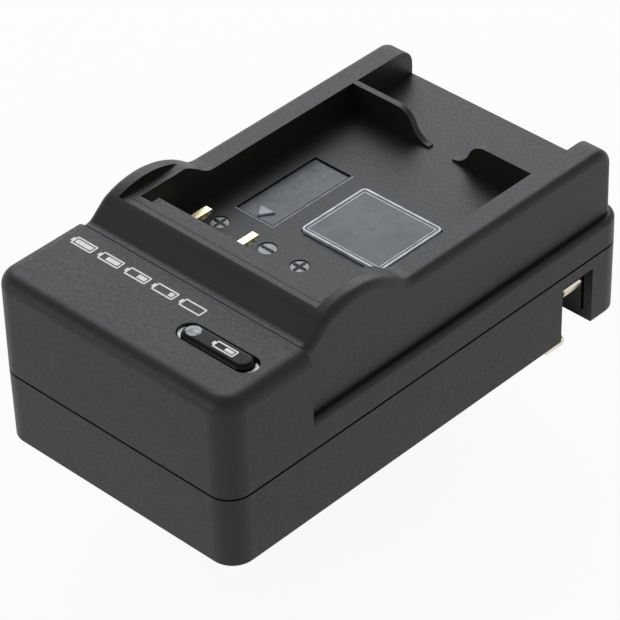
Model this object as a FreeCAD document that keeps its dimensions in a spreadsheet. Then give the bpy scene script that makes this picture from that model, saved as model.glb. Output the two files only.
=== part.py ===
import FreeCAD, Part
import math
import os
import Sketcher

os.makedirs("parts", exist_ok=True)
doc = FreeCAD.newDocument("BatteryCharger")
sheet = doc.addObject("Spreadsheet::Sheet", "Sheet")
finished = []


class Size:
    """A length in millimetres with the expression that ties it to the sheet."""

    def __init__(self, text, value):
        self.text = text
        self.value = value

    def __add__(self, other):
        other = as_size(other)
        return Size(f"({self.text} + {other.text})", self.value + other.value)

    def __sub__(self, other):
        other = as_size(other)
        return Size(f"({self.text} - {other.text})", self.value - other.value)

    def __mul__(self, factor):
        return Size(f"({self.text} * {factor})", self.value * factor)

    def __truediv__(self, factor):
        return Size(f"({self.text} / {factor})", self.value / factor)

    def __neg__(self):
        return Size(f"(0 - {self.text})", -self.value)


def as_size(number):
    """A plain number becomes a Size, and a Size stays as it is."""
    if isinstance(number, Size):
        return number
    return Size(f"({number})", float(number))


def diagonal(first, second):
    """Length of the hypotenuse over two sizes."""
    text = f"sqrt({first.text}^2 + {second.text}^2)"
    return Size(text, math.hypot(first.value, second.value))


sheet_rows = []


def size(name, value):
    """One driving dimension: a named cell of the sheet."""
    sheet_rows.append(name)
    row = len(sheet_rows)
    sheet.set(f"A{row}", name)
    sheet.set(f"B{row}", str(value))
    sheet.setAlias(f"B{row}", name)
    return Size(f"Sheet.{name}", float(value))


# Case
case_length = size("case_length", 82.2)
case_width = size("case_width", 46.0)
case_draft = size("case_draft", 0.15)
corner_radius = size("corner_radius", 3.8)
case_wall = size("case_wall", 1.5)
case_floor = size("case_floor", 1.5)
bottom_bevel = size("bottom_bevel", 0.15)
seam_height = size("seam_height", 11.9)
deck_height = size("deck_height", 16.7)
deck_wall = size("deck_wall", 1.3)
deck_round = size("deck_round", 0.9)
seam_groove = size("seam_groove", 0.2)
console_height = size("console_height", 28.5)
console_depth = size("console_depth", 16.35)
console_round = size("console_round", 2.2)

# Battery plate
plate_width = size("plate_width", 43.5)
plate_gap = size("plate_gap", 0.15)
plate_rear_inset = size("plate_rear_inset", 1.65)
plate_wall = size("plate_wall", 1.6)
rail_height = size("rail_height", 28.25)
rail_round = size("rail_round", 1.3)
rail_end_radius = size("rail_end_radius", 2.8)
pocket_width = size("pocket_width", 34.8)
pocket_floor = size("pocket_floor", 23.5)
rib_back = size("rib_back", 13.05)
rib_thickness = size("rib_thickness", 1.0)
rib_gap_top = size("rib_gap_top", 17.4)
rib_gap_foot = size("rib_gap_foot", 4.6)
rib_foot_step = size("rib_foot_step", 0.3)
slope_foot = size("slope_foot", 1.0)
slope_foot_round = size("slope_foot_round", 1.6)
slope_run = size("slope_run", 3.9)
slope_top = size("slope_top", 31.0)
slope_round = size("slope_round", 5.0)
ear_length = size("ear_length", 20.5)
ear_radius = size("ear_radius", 14.5)
ear_foot_round = size("ear_foot_round", 4.0)
window_inset = size("window_inset", 4.95)
window_width = size("window_width", 38.4)
ledge_height = size("ledge_height", 31.1)
stop_inset = size("stop_inset", 7.5)
stop_depth = size("stop_depth", 1.9)
stop_height = size("stop_height", 30.6)
stop_gap = size("stop_gap", 1.75)

# Marks on the pocket floor
mark_depth = size("mark_depth", 0.35)
disc_radius = size("disc_radius", 1.45)
plus_disc_x = size("plus_disc_x", -12.3)
minus_disc_x = size("minus_disc_x", -2.85)
spare_disc_x = size("spare_disc_x", 3.4)
disc_setback = size("disc_setback", 17.75)
arrow_panel_width = size("arrow_panel_width", 7.4)
arrow_panel_length = size("arrow_panel_length", 16.6)
arrow_panel_x = size("arrow_panel_x", -9.5)
arrow_panel_setback = size("arrow_panel_setback", 21.85)
label_width = size("label_width", 15.25)
label_length = size("label_length", 13.4)
label_thickness = size("label_thickness", 0.9)
label_proud = size("label_proud", 0.35)
label_bevel = size("label_bevel", 0.3)
label_x = size("label_x", 5.4)
label_setback = size("label_setback", 23.8)

# Battery contacts
contact_width = size("contact_width", 1.2)
contact_thickness = size("contact_thickness", 0.9)
contact_lift = size("contact_lift", 1.3)
contact_reach = size("contact_reach", 7.7)
contact_slot_clearance = size("contact_slot_clearance", 0.2)
plus_contact_x = size("plus_contact_x", -13.7)
minus_contact_x = size("minus_contact_x", -4.45)
contact_board_length = size("contact_board_length", 30)
contact_board_depth = size("contact_board_depth", 9)
contact_board_thickness = size("contact_board_thickness", 1.0)

# Indicator bar
slot_length = size("slot_length", 14.5)
slot_width = size("slot_width", 3.95)
slot_side = size("slot_side", 10.4)
slot_front = size("slot_front", 9.05)
bar_end_gap = size("bar_end_gap", 0.85)
bar_side_gap = size("bar_side_gap", 0.2)
bar_proud = size("bar_proud", 0.5)
bar_bevel = size("bar_bevel", 0.35)
guide_drop = size("guide_drop", 0.9)
guide_flange = size("guide_flange", 1.2)
guide_margin = size("guide_margin", 1.0)
guide_clearance = size("guide_clearance", 0.1)
lens_radius = size("lens_radius", 1.15)
lens_inset = size("lens_inset", 2.7)
lens_proud = size("lens_proud", 0.25)

# Folding plug
blade_pitch = size("blade_pitch", 12.7)
blade_width = size("blade_width", 6.35)
blade_thickness = size("blade_thickness", 1.5)
blade_reach = size("blade_reach", 26)
blade_root = size("blade_root", 1.0)
blade_hole_radius = size("blade_hole_radius", 1.6)
blade_hole_inset = size("blade_hole_inset", 9.0)
blade_bevel = size("blade_bevel", 0.3)
blade_tip_length = size("blade_tip_length", 2.3)
blade_tip_inset = size("blade_tip_inset", 1.3)
blade_clearance = size("blade_clearance", 0.2)
barrel_radius = size("barrel_radius", 7.2)
barrel_length = size("barrel_length", 8.0)
barrel_end_gap = size("barrel_end_gap", 0.3)
barrel_gap = size("barrel_gap", 0.35)
barrel_lift = size("barrel_lift", 0.15)
plug_inset = size("plug_inset", 10.4)
notch_height = size("notch_height", 9.85)
side_skin = size("side_skin", 0.65)
tip_clearance = size("tip_clearance", 0.2)
well_wall = size("well_wall", 1.2)
crown_gap = size("crown_gap", 0.1)
trunnion_radius = size("trunnion_radius", 1.0)
trunnion_grip = size("trunnion_grip", 2.6)
running_fit = size("running_fit", 0.05)
swing_angle = size("swing_angle", 13.5)

# Electronics
board_width = size("board_width", 26.6)
board_thickness = size("board_thickness", 1.2)
board_height = size("board_height", 4.2)
board_end_gap = size("board_end_gap", 1.0)
post_half = size("post_half", 1.4)
post_inset = size("post_inset", 2.4)
core_width = size("core_width", 14)
core_depth = size("core_depth", 9.5)
core_height = size("core_height", 13)
core_leg = size("core_leg", 2.6)
transformer_x = size("transformer_x", -6.2)
coil_overhang = size("coil_overhang", 1.2)
can_radius = size("can_radius", 4.0)
can_length = size("can_length", 13)
small_can_radius = size("small_can_radius", 3.15)
small_can_length = size("small_can_length", 11)
bridge_size = size("bridge_size", 5.0)
bridge_height = size("bridge_height", 2.4)
chip_length = size("chip_length", 5.0)
chip_width = size("chip_width", 4.0)
chip_height = size("chip_height", 1.6)
fuse_radius = size("fuse_radius", 1.5)
fuse_length = size("fuse_length", 8.0)
led_radius = size("led_radius", 1.5)
led_height = size("led_height", 4.5)
led_lead = size("led_lead", 0.5)
led_gap = size("led_gap", 0.3)
spring_pin_radius = size("spring_pin_radius", 1.0)
spring_pin_clearance = size("spring_pin_clearance", 0.3)
spring_pin_x = size("spring_pin_x", 8.0)
strip_width = size("strip_width", 3.0)
strip_thickness = size("strip_thickness", 0.5)

# Screws
screw_inset = size("screw_inset", 4.3)
screw_front = size("screw_front", 5.6)
screw_back = size("screw_back", 22.2)
screw_radius = size("screw_radius", 1.0)
screw_head_radius = size("screw_head_radius", 2.0)
screw_head_height = size("screw_head_height", 1.5)
screw_sink = size("screw_sink", 2.4)
screw_grip = size("screw_grip", 3.0)
boss_half = size("boss_half", 3.2)
screw_clearance = size("screw_clearance", 0.2)

doc.recompute()

# Places worked out from the driving dimensions
front_y = -(case_length / 2)
rear_y = case_length / 2
side_x = case_width / 2
console_back = front_y + console_depth
console_ceiling = console_height - case_wall
deck_ceiling = deck_height - deck_wall
plate_front = console_back + plate_gap
plate_rear = rear_y - plate_rear_inset
plate_side = plate_width / 2
pocket_side = pocket_width / 2
plate_ceiling = pocket_floor - plate_wall
rib_front = plate_rear - rib_back
stop_front = plate_front + stop_inset
stop_rear = stop_front + stop_depth
window_front = plate_front + window_inset
ear_end = plate_front + ear_length
slot_x = side_x - slot_side
slot_y = front_y + slot_front
screw_x = side_x - screw_inset
guide_top = console_height - guide_drop
bar_top = console_height + bar_proud
lens_x = slot_x - slot_length / 2 + lens_inset
board_top = board_height + board_thickness
board_front = front_y + case_wall + board_end_gap
blade_offset = blade_pitch / 2
blade_outer = blade_offset + blade_thickness / 2
blade_inner = blade_offset - blade_thickness / 2
blade_sweep = diagonal(blade_reach, blade_outer)
pivot_x = side_x - side_skin - tip_clearance - blade_sweep
pivot_y = rear_y - plug_inset
pivot_z = barrel_radius + barrel_lift
well_half = barrel_length / 2 + barrel_end_gap
notch_half = blade_width / 2 + blade_clearance
well_left = pivot_x - barrel_radius - barrel_gap
well_step = pivot_x + barrel_radius + barrel_gap
well_right = side_x - side_skin
well_top = deck_ceiling - crown_gap
well_front = pivot_y - well_half - well_wall
well_rear = pivot_y + well_half + well_wall
board_rear = well_front - board_end_gap
contact_top = pocket_floor + contact_lift + contact_thickness
contact_leg = stop_front - contact_thickness
contact_tip = stop_rear + contact_reach
contact_board_top = plate_ceiling
contact_board_foot = plate_ceiling - contact_board_thickness
spring_pin_y = stop_front
disc_places = (plus_disc_x, minus_disc_x, spare_disc_x)
arrow_panel_front = plate_front + arrow_panel_setback
label_front = plate_front + label_setback
label_top = pocket_floor + label_proud


def bind(item, prop, length):
    """Tie a property to the sheet."""
    item.setExpression(prop, as_size(length).text)


def place(item, x=0, y=0, z=0):
    """Put an object at a point given by sizes."""
    bind(item, "Placement.Base.x", x)
    bind(item, "Placement.Base.y", y)
    bind(item, "Placement.Base.z", z)
    return item


def box(x0, x1, y0, y1, z0, z1):
    """A block between two corners."""
    block = doc.addObject("Part::Box", "Block")
    bind(block, "Length", as_size(x1) - x0)
    bind(block, "Width", as_size(y1) - y0)
    bind(block, "Height", as_size(z1) - z0)
    return place(block, x0, y0, z0)


TURNS = {
    "X": FreeCAD.Rotation(FreeCAD.Vector(0, 1, 0), 90),
    "Y": FreeCAD.Rotation(FreeCAD.Vector(1, 0, 0), -90),
    "Z": FreeCAD.Rotation(),
}


def cylinder(radius, length, x, y, z, axis="Z"):
    """A round bar that starts at a point and runs along +X, +Y or +Z."""
    bar = doc.addObject("Part::Cylinder", "Bar")
    bind(bar, "Radius", radius)
    bind(bar, "Height", length)
    bar.Placement = FreeCAD.Placement(FreeCAD.Vector(), TURNS[axis])
    return place(bar, x, y, z)


def fuse(*pieces):
    """Several shapes as one solid."""
    joined = doc.addObject("Part::MultiFuse", "Joined")
    joined.Shapes = list(pieces)
    joined.Refine = True
    return joined


def cut(base, *tools):
    """A shape with other shapes taken out of it."""
    trimmed = doc.addObject("Part::Cut", "Trimmed")
    trimmed.Base = base
    trimmed.Tool = tools[0] if len(tools) == 1 else fuse(*tools)
    return trimmed


def finish(item, label):
    """Give a sub-part its name and put it on the list of files."""
    item.Label = label
    finished.append(item)
    return item


def new_body(name):
    """An empty PartDesign body."""
    return doc.addObject("PartDesign::Body", name)


def new_sketch(body, name, role, offset=0):
    """A sketch on one of the body's origin planes, moved along its normal."""
    sketch = body.newObject("Sketcher::SketchObject", name)
    planes = [plane for plane in body.Origin.OriginFeatures if plane.Role == role]
    sketch.AttachmentSupport = [(planes[0], "")]
    sketch.MapMode = "FlatFace"
    bind(sketch, "AttachmentOffset.Base.z", offset)
    return sketch


def pin_point(sketch, item, end, x, y):
    """Tie one end of a sketch line or arc to the sheet."""
    for kind, length in (("DistanceX", as_size(x)), ("DistanceY", as_size(y))):
        index = sketch.addConstraint(Sketcher.Constraint(kind, -1, 1, item, end, length.value))
        sketch.setExpression(f"Constraints[{index}]", length.text)


def arc_between(start, end, radius, turn):
    """Arc from start to end that bends left (+1) or right (-1)."""
    chord = end - start
    half = chord.Length / 2
    rise = radius - math.sqrt(max(radius * radius - half * half, 0))
    across = FreeCAD.Vector(chord.y, -chord.x, 0)
    across.normalize()
    middle = (start + end) / 2 + across * (rise * turn)
    return Part.Arc(start, middle, end)


def outline(sketch, corners):
    """Closed outline of straight lines and arcs.

    A corner is (x, y), or (x, y, radius, turn) where an arc starts. An arc without a
    radius is a half circle across Y, so its centre is at the corner's own x.
    """
    points = [FreeCAD.Vector(as_size(c[0]).value, as_size(c[1]).value, 0) for c in corners]
    ends = []
    for index, corner in enumerate(corners):
        start = points[index]
        end = points[(index + 1) % len(points)]
        if len(corner) == 2:
            item = sketch.addGeometry(Part.LineSegment(start, end), False)
            ends.append((item, 1, 2))
            continue
        half_round = corner[2] is None
        held = as_size(corner[0] if half_round else corner[2])
        radius = (end - start).Length / 2 if half_round else held.value
        item = sketch.addGeometry(arc_between(start, end, radius, corner[3]), False)
        ends.append((item, 1, 2) if corner[3] > 0 else (item, 2, 1))
        if half_round:
            hold = Sketcher.Constraint("DistanceX", -1, 1, item, 3, held.value)
        else:
            hold = Sketcher.Constraint("Radius", item, held.value)
        number = sketch.addConstraint(hold)
        sketch.setExpression(f"Constraints[{number}]", held.text)
    for index, (item, first, last) in enumerate(ends):
        follower = ends[(index + 1) % len(ends)]
        sketch.addConstraint(Sketcher.Constraint("Coincident", item, last, follower[0], follower[1]))
        pin_point(sketch, item, first, corners[index][0], corners[index][1])


def rectangle(sketch, x0, x1, y0, y1):
    """Closed rectangle."""
    outline(sketch, [(x0, y0), (x1, y0), (x1, y1), (x0, y1)])


def square(sketch, x, y, half):
    """Square about a point."""
    rectangle(sketch, x - half, x + half, y - half, y + half)


def round_rectangle(sketch, x0, x1, y0, y1, radius):
    """Closed rectangle with round corners."""
    x0, x1, y0, y1 = as_size(x0), as_size(x1), as_size(y0), as_size(y1)
    outline(sketch, [
        (x0 + radius, y0), (x1 - radius, y0, radius, 1),
        (x1, y0 + radius), (x1, y1 - radius, radius, 1),
        (x1 - radius, y1), (x0 + radius, y1, radius, 1),
        (x0, y1 - radius), (x0, y0 + radius, radius, 1),
    ])


def stadium(sketch, x, y, length, width):
    """Slot outline with half-round ends, long way along X."""
    half = length / 2 - width / 2
    outline(sketch, [
        (x - half, y - width / 2), (x + half, y - width / 2, None, 1),
        (x + half, y + width / 2), (x - half, y + width / 2, None, 1),
    ])


def circle(sketch, x, y, radius):
    """Circle tied to the sheet."""
    centre = FreeCAD.Vector(as_size(x).value, as_size(y).value, 0)
    item = sketch.addGeometry(Part.Circle(centre, FreeCAD.Vector(0, 0, 1), radius.value), False)
    number = sketch.addConstraint(Sketcher.Constraint("Radius", item, radius.value))
    sketch.setExpression(f"Constraints[{number}]", radius.text)
    pin_point(sketch, item, 3, x, y)


def pad(body, sketch, length, reverse=False, both=False):
    """Add material along the sketch's normal."""
    feature = body.newObject("PartDesign::Pad", sketch.Name + "Pad")
    feature.Profile = sketch
    bind(feature, "Length", length)
    feature.Reversed = reverse
    if both:
        feature.SideType = "Symmetric"
    doc.recompute()
    return feature


def pocket(body, sketch, length, reverse=False):
    """Take material away against the sketch's normal, and make sure some went."""
    before = body.Shape.Volume
    feature = body.newObject("PartDesign::Pocket", sketch.Name + "Pocket")
    feature.Profile = sketch
    bind(feature, "Length", length)
    feature.Reversed = reverse
    doc.recompute()
    if not body.Shape.Volume < before:
        raise ValueError(f"{feature.Name} cut nothing: {feature.State}, {before} to {body.Shape.Volume}")
    return feature


def edges_where(feature, test):
    """Names of a feature's edges whose two ends and middle all pass a test."""
    names = []
    for number, edge in enumerate(feature.Shape.Edges, 1):
        spots = [vertex.Point for vertex in edge.Vertexes] + [edge.CenterOfMass]
        if all(test(spot) for spot in spots):
            names.append(f"Edge{number}")
    return names


def dress(body, kind, feature, prop, length, test):
    """Fillet or chamfer the edges of a feature that pass a test."""
    dressed = body.newObject(f"PartDesign::{kind}", feature.Name + kind)
    dressed.Base = (feature, edges_where(feature, test))
    bind(dressed, prop, length)
    doc.recompute()
    if dressed.Shape.isNull() or not dressed.Shape.isValid():
        raise ValueError(f"{dressed.Name} failed on {dressed.Base[1]}: {dressed.State}")
    return dressed


def near(value, length):
    """True where a coordinate lies at a size."""
    return abs(value - length.value) < 1e-4


def screw_points():
    """The four screw axes."""
    rows = (front_y + screw_front, rear_y - screw_back)
    return [(x, y) for x in (-screw_x, screw_x) for y in rows]


def make_bottom_case():
    """Lower shell: drafted walls, screw bosses, board posts and the plug well."""
    body = new_body("BottomCase")
    foot = new_sketch(body, "FootOutline", "XY_Plane")
    inset = case_draft
    round_rectangle(foot, -side_x + inset, side_x - inset, front_y + inset, rear_y - inset,
                    corner_radius - inset)
    hull = pad(body, foot, seam_height)
    hull.setExpression("TaperAngle", f"atan({case_draft.text} / {seam_height.text})")
    doc.recompute()
    bevelled = dress(body, "Chamfer", hull, "Size", bottom_bevel, lambda spot: abs(spot.z) < 1e-4)
    dress(body, "Chamfer", bevelled, "Size", seam_groove, lambda spot: near(spot.z, seam_height))
    inside = new_sketch(body, "BottomInside", "XY_Plane", seam_height)
    gap = case_draft + case_wall
    round_rectangle(inside, -side_x + gap, side_x - gap, front_y + gap, rear_y - gap,
                    corner_radius - gap)
    pocket(body, inside, seam_height - case_floor)
    bosses = new_sketch(body, "BottomBosses", "XY_Plane", case_floor)
    for x, y in screw_points():
        square(bosses, x, y, boss_half)
    pad(body, bosses, seam_height - case_floor)
    posts = new_sketch(body, "BoardPosts", "XY_Plane", case_floor)
    for x in (-(board_width / 2) + post_inset, board_width / 2 - post_inset):
        for y in (board_front + post_inset, board_rear - post_inset):
            square(posts, x, y, post_half)
    pad(body, posts, board_height - case_floor)
    holes = new_sketch(body, "ScrewHoles", "XY_Plane", seam_height)
    sinks = new_sketch(body, "ScrewSinks", "XY_Plane")
    for x, y in screw_points():
        circle(holes, x, y, screw_radius + screw_clearance)
        circle(sinks, x, y, screw_head_radius + screw_clearance)
    pocket(body, holes, seam_height)
    pocket(body, sinks, screw_sink, reverse=True)
    walls = new_sketch(body, "WellWalls", "XY_Plane", case_floor / 2)
    slot_rim = notch_half + well_wall
    outline(walls, [
        (well_left - well_wall, well_front), (well_step + well_wall, well_front),
        (well_step + well_wall, pivot_y - slot_rim), (well_right - case_wall, pivot_y - slot_rim),
        (well_right - case_wall, pivot_y + slot_rim), (well_step + well_wall, pivot_y + slot_rim),
        (well_step + well_wall, well_rear), (well_left - well_wall, well_rear),
    ])
    pad(body, walls, seam_height - case_floor / 2)
    crown = new_sketch(body, "WellCrown", "XY_Plane", seam_height)
    inner_side = side_x - case_wall - crown_gap
    outline(crown, [
        (well_left - well_wall, well_front), (well_step + well_wall, well_front),
        (well_step + well_wall, pivot_y - slot_rim), (inner_side, pivot_y - slot_rim),
        (inner_side, pivot_y + slot_rim), (well_step + well_wall, pivot_y + slot_rim),
        (well_step + well_wall, well_rear), (well_left - well_wall, well_rear),
    ])
    pad(body, crown, well_top - seam_height)
    well = new_sketch(body, "PlugWell", "XY_Plane", well_top)
    outline(well, [
        (well_left, pivot_y - well_half), (well_step, pivot_y - well_half),
        (well_step, pivot_y - notch_half), (well_right, pivot_y - notch_half),
        (well_right, pivot_y + notch_half), (well_step, pivot_y + notch_half),
        (well_step, pivot_y + well_half), (well_left, pivot_y + well_half),
    ])
    pocket(body, well, well_top + case_floor)
    notch = new_sketch(body, "SideNotch", "XY_Plane", notch_height)
    rectangle(notch, well_right - case_wall, side_x + case_wall,
              pivot_y - notch_half, pivot_y + notch_half)
    pocket(body, notch, notch_height + case_floor)
    bores = new_sketch(body, "TrunnionBores", "XZ_Plane", -well_rear)
    circle(bores, pivot_x, pivot_z, trunnion_radius)
    pocket(body, bores, well_rear - well_front, reverse=True)
    return finish(body, "bottom_case")


def make_top_case():
    """Upper shell: low deck for the plate and the console block at the front."""
    body = new_body("TopCase")
    base = new_sketch(body, "DeckOutline", "XY_Plane", seam_height)
    round_rectangle(base, -side_x, side_x, front_y, rear_y, corner_radius)
    deck = pad(body, base, deck_height - seam_height)
    grooved = dress(body, "Chamfer", deck, "Size", seam_groove, lambda spot: near(spot.z, seam_height))
    dress(body, "Fillet", grooved, "Radius", deck_round, lambda spot: near(spot.z, deck_height))
    block = new_sketch(body, "ConsoleOutline", "XY_Plane", seam_height + seam_groove)
    outline(block, [
        (-side_x + corner_radius, front_y), (side_x - corner_radius, front_y, corner_radius, 1),
        (side_x, front_y + corner_radius), (side_x, console_back),
        (-side_x, console_back), (-side_x, front_y + corner_radius, corner_radius, 1),
    ])
    console = pad(body, block, console_height - seam_height - seam_groove)
    dress(body, "Fillet", console, "Radius", console_round,
          lambda spot: near(spot.z, console_height) and spot.y < console_back.value + 1e-4
          and not near(spot.y, console_back) or near(spot.z, console_height)
          and near(abs(spot.x), side_x))
    inside = new_sketch(body, "DeckInside", "XY_Plane", seam_height)
    gap = case_wall
    round_rectangle(inside, -side_x + gap, side_x - gap, front_y + gap, rear_y - gap,
                    corner_radius - gap)
    pocket(body, inside, deck_ceiling - seam_height, reverse=True)
    hollow = new_sketch(body, "ConsoleInside", "XY_Plane", seam_height)
    round_rectangle(hollow, -side_x + gap, side_x - gap, front_y + gap, console_back - gap,
                    corner_radius - gap)
    pocket(body, hollow, console_ceiling - seam_height, reverse=True)
    bosses = new_sketch(body, "TopBosses", "XY_Plane", seam_height)
    for x, y in screw_points():
        square(bosses, x, y, boss_half)
    pad(body, bosses, deck_ceiling - seam_height + deck_wall / 2)
    pilots = new_sketch(body, "ScrewPilots", "XY_Plane", seam_height)
    for x, y in screw_points():
        circle(pilots, x, y, screw_radius)
    pocket(body, pilots, screw_grip, reverse=True)
    window = new_sketch(body, "BarSlot", "XY_Plane", console_height)
    stadium(window, slot_x, slot_y, slot_length, slot_width)
    pocket(body, window, case_wall * 2)
    relief = new_sketch(body, "BladeRelief", "XY_Plane", seam_height)
    rectangle(relief, well_right - case_wall, well_right,
              pivot_y - notch_half, pivot_y + notch_half)
    pocket(body, relief, deck_ceiling - seam_height, reverse=True)
    pins = new_sketch(body, "SpringPinHoles", "XY_Plane", deck_height)
    for x in (-spring_pin_x, spring_pin_x):
        circle(pins, x, spring_pin_y, spring_pin_radius + spring_pin_clearance)
    pocket(body, pins, deck_wall * 2)
    return finish(body, "top_case")


def make_battery_plate():
    """Cradle for the battery: rails, arched ears, front stop and rear rib."""
    body = new_body("BatteryPlate")
    side = new_sketch(body, "PlateSide", "YZ_Plane")
    outline(side, [
        (plate_front, deck_height), (plate_rear, deck_height),
        (plate_rear, rail_height - rail_end_radius, rail_end_radius, 1),
        (plate_rear - rail_end_radius, rail_height), (ear_end, rail_height, ear_radius, 1),
        (plate_front + slope_run, slope_top), (plate_front + slope_foot, console_height),
        (plate_front, console_height),
    ])
    blank = pad(body, side, plate_width, both=True)
    brow = dress(body, "Fillet", blank, "Radius", slope_round,
                 lambda spot: near(spot.z, slope_top) and near(spot.y, plate_front + slope_run))
    swept = dress(body, "Fillet", brow, "Radius", ear_foot_round,
                  lambda spot: near(spot.z, rail_height) and near(spot.y, ear_end))
    lipped = dress(body, "Fillet", swept, "Radius", slope_foot_round,
                   lambda spot: near(spot.z, console_height) and near(spot.y, plate_front + slope_foot))
    dress(body, "Fillet", lipped, "Radius", rail_round,
          lambda spot: near(abs(spot.x), plate_side) and spot.z > rail_height.value - 1e-4)
    window = new_sketch(body, "PlateWindow", "XY_Plane", ledge_height)
    rectangle(window, -window_width / 2, window_width / 2, window_front, ear_end)
    pocket(body, window, ear_radius, reverse=True)
    well = new_sketch(body, "PlatePocket", "XY_Plane", pocket_floor)
    rectangle(well, -pocket_side, pocket_side, stop_front, plate_rear + plate_wall)
    pocket(body, well, ear_radius, reverse=True)
    stop = new_sketch(body, "FrontStop", "XY_Plane", pocket_floor)
    rectangle(stop, -pocket_side + stop_gap, pocket_side, stop_front, stop_rear)
    pad(body, stop, stop_height - pocket_floor)
    rib = new_sketch(body, "RearRib", "XZ_Plane", -rib_front)
    for sign in (1, -1):
        rib_half(rib, sign)
    pad(body, rib, rib_thickness, reverse=True)
    under = new_sketch(body, "PlateUnderside", "XY_Plane", deck_height)
    rectangle(under, -plate_side + plate_wall, plate_side - plate_wall,
              plate_front + plate_wall, plate_rear - plate_wall)
    pocket(body, under, plate_ceiling - deck_height, reverse=True)
    slots = new_sketch(body, "ContactSlots", "XY_Plane", plate_ceiling)
    half = contact_width / 2 + contact_slot_clearance
    for x in (plus_contact_x, minus_contact_x):
        rectangle(slots, x - half, x + half, contact_leg - contact_slot_clearance,
                  stop_rear + contact_slot_clearance)
    pocket(body, slots, contact_top + contact_slot_clearance - plate_ceiling, reverse=True)
    marks = new_sketch(body, "FloorMarks", "XY_Plane", pocket_floor)
    for x in disc_places:
        circle(marks, x, plate_front + disc_setback, disc_radius)
    rectangle(marks, arrow_panel_x - arrow_panel_width / 2, arrow_panel_x + arrow_panel_width / 2,
              arrow_panel_front, arrow_panel_front + arrow_panel_length)
    pocket(body, marks, mark_depth)
    seat = new_sketch(body, "LabelSeat", "XY_Plane", pocket_floor)
    rectangle(seat, label_x - label_width / 2, label_x + label_width / 2,
              label_front, label_front + label_length)
    pocket(body, seat, label_thickness - label_proud)
    return finish(body, "battery_plate")


def rib_half(sketch, sign):
    """One half of the rear rib, with an S-shaped end beside the finger gap."""
    run = (rib_gap_top - rib_gap_foot) / 2
    foot = pocket_floor + rib_foot_step
    rise = rail_height - foot
    bend = Size(f"(({run.text} / 2)^2 + ({rise.text} / 2)^2) / {rise.text}",
                ((run.value / 2) ** 2 + (rise.value / 2) ** 2) / rise.value)
    top_x = rib_gap_top / 2 * sign
    middle_x = (rib_gap_top + rib_gap_foot) / 4 * sign
    foot_x = rib_gap_foot / 2 * sign
    outline(sketch, [
        (foot_x, pocket_floor), (pocket_side * sign, pocket_floor),
        (pocket_side * sign, rail_height), (top_x, rail_height, bend, sign),
        (middle_x, foot + rise / 2, bend, -sign), (foot_x, foot),
    ])


def make_label_insert():
    """Thin bevelled plate let into the pocket floor."""
    body = new_body("LabelInsert")
    face = new_sketch(body, "LabelOutline", "XY_Plane", label_top - label_thickness)
    rectangle(face, label_x - label_width / 2, label_x + label_width / 2,
              label_front, label_front + label_length)
    slab = pad(body, face, label_thickness)
    dress(body, "Chamfer", slab, "Size", label_bevel, lambda spot: near(spot.z, label_top))
    return finish(body, "label_insert")


def make_light_guide():
    """Translucent piece under the console that fills the slot below the bar."""
    body = new_body("LightGuide")
    flange = new_sketch(body, "GuideFlange", "XY_Plane", console_ceiling - guide_flange)
    flange_x = slot_length / 2 + guide_margin
    flange_y = slot_width / 2 + guide_margin
    rectangle(flange, slot_x - flange_x, slot_x + flange_x, slot_y - flange_y, slot_y + flange_y)
    pad(body, flange, guide_flange)
    boss = new_sketch(body, "GuideBoss", "XY_Plane", console_ceiling)
    stadium(boss, slot_x, slot_y, slot_length - guide_clearance * 2, slot_width - guide_clearance * 2)
    pad(body, boss, guide_top - console_ceiling)
    return finish(body, "light_guide")


def make_indicator_bar():
    """Gloss bar in the slot, with a round window for the lamp."""
    body = new_body("IndicatorBar")
    face = new_sketch(body, "BarOutline", "XY_Plane", guide_top)
    stadium(face, slot_x, slot_y, slot_length - bar_end_gap * 2, slot_width - bar_side_gap * 2)
    bar = pad(body, face, bar_top - guide_top)
    dress(body, "Chamfer", bar, "Size", bar_bevel, lambda spot: near(spot.z, bar_top))
    hole = new_sketch(body, "LensHole", "XY_Plane", bar_top)
    circle(hole, lens_x, slot_y, lens_radius)
    pocket(body, hole, bar_top - guide_top)
    return finish(body, "indicator_bar")


def make_led_lens():
    """Clear button in the bar's window, rounded on top."""
    body = new_body("LedLens")
    face = new_sketch(body, "LensOutline", "XY_Plane", guide_top)
    circle(face, lens_x, slot_y, lens_radius)
    button = pad(body, face, bar_top + lens_proud - guide_top)
    dress(body, "Chamfer", button, "Size", bar_bevel,
          lambda spot: near(spot.z, bar_top + lens_proud))
    return finish(body, "led_lens")


def make_indicator_led():
    """Round lamp on two long leads, standing on the board below the lens."""
    top = console_ceiling - guide_flange - led_gap
    foot = top - led_height
    lamp = cylinder(led_radius, led_height, lens_x, slot_y, foot)
    leads = []
    for step in (-led_radius / 2, led_radius / 2):
        half = led_lead / 2
        leads.append(box(lens_x + step - half, lens_x + step + half, slot_y - half, slot_y + half,
                         board_top, foot))
    return finish(fuse(lamp, *leads), "indicator_led")


def make_main_board():
    """Circuit board on the four posts."""
    half = board_width / 2
    board = box(-half, half, board_front, board_rear, board_height, board_top)
    return finish(board, "main_board")


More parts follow.
